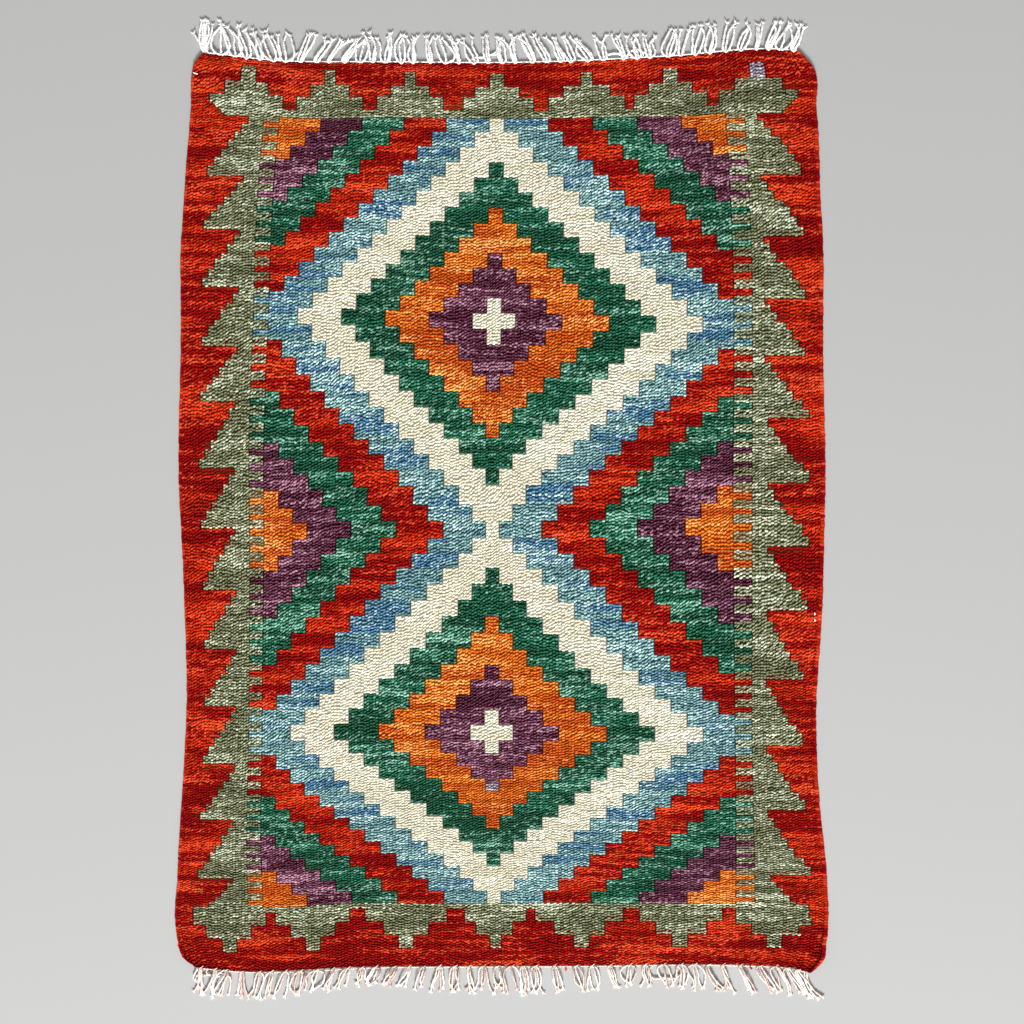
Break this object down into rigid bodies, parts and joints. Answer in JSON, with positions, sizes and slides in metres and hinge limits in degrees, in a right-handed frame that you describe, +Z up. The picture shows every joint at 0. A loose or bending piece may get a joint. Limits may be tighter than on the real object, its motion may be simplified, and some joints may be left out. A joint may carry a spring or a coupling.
{
  "type": "kilim rug",
  "caption": "Small flat-woven wool rug with stepped diamonds, toothed borders and a cotton fringe at both ends, lying flat.",
  "frame": {"origin": "on the surface, under the middle of the rug and its fringes", "axes": "+Y along the warps towards the far fringe, +X to the right of it, +Z up out of the face"},
  "size_m": [0.6414, 0.9702, 0.0113],
  "materials": {
    "wool_weft": "matte hand-spun wool",
    "cotton_warp": "matte plied cotton"
  },
  "bodies": {
    "root": {"kilim_cloth": "wool_weft", "fringe_far": "cotton_warp", "fringe_near": "cotton_warp"}
  },
  "joints": []
}
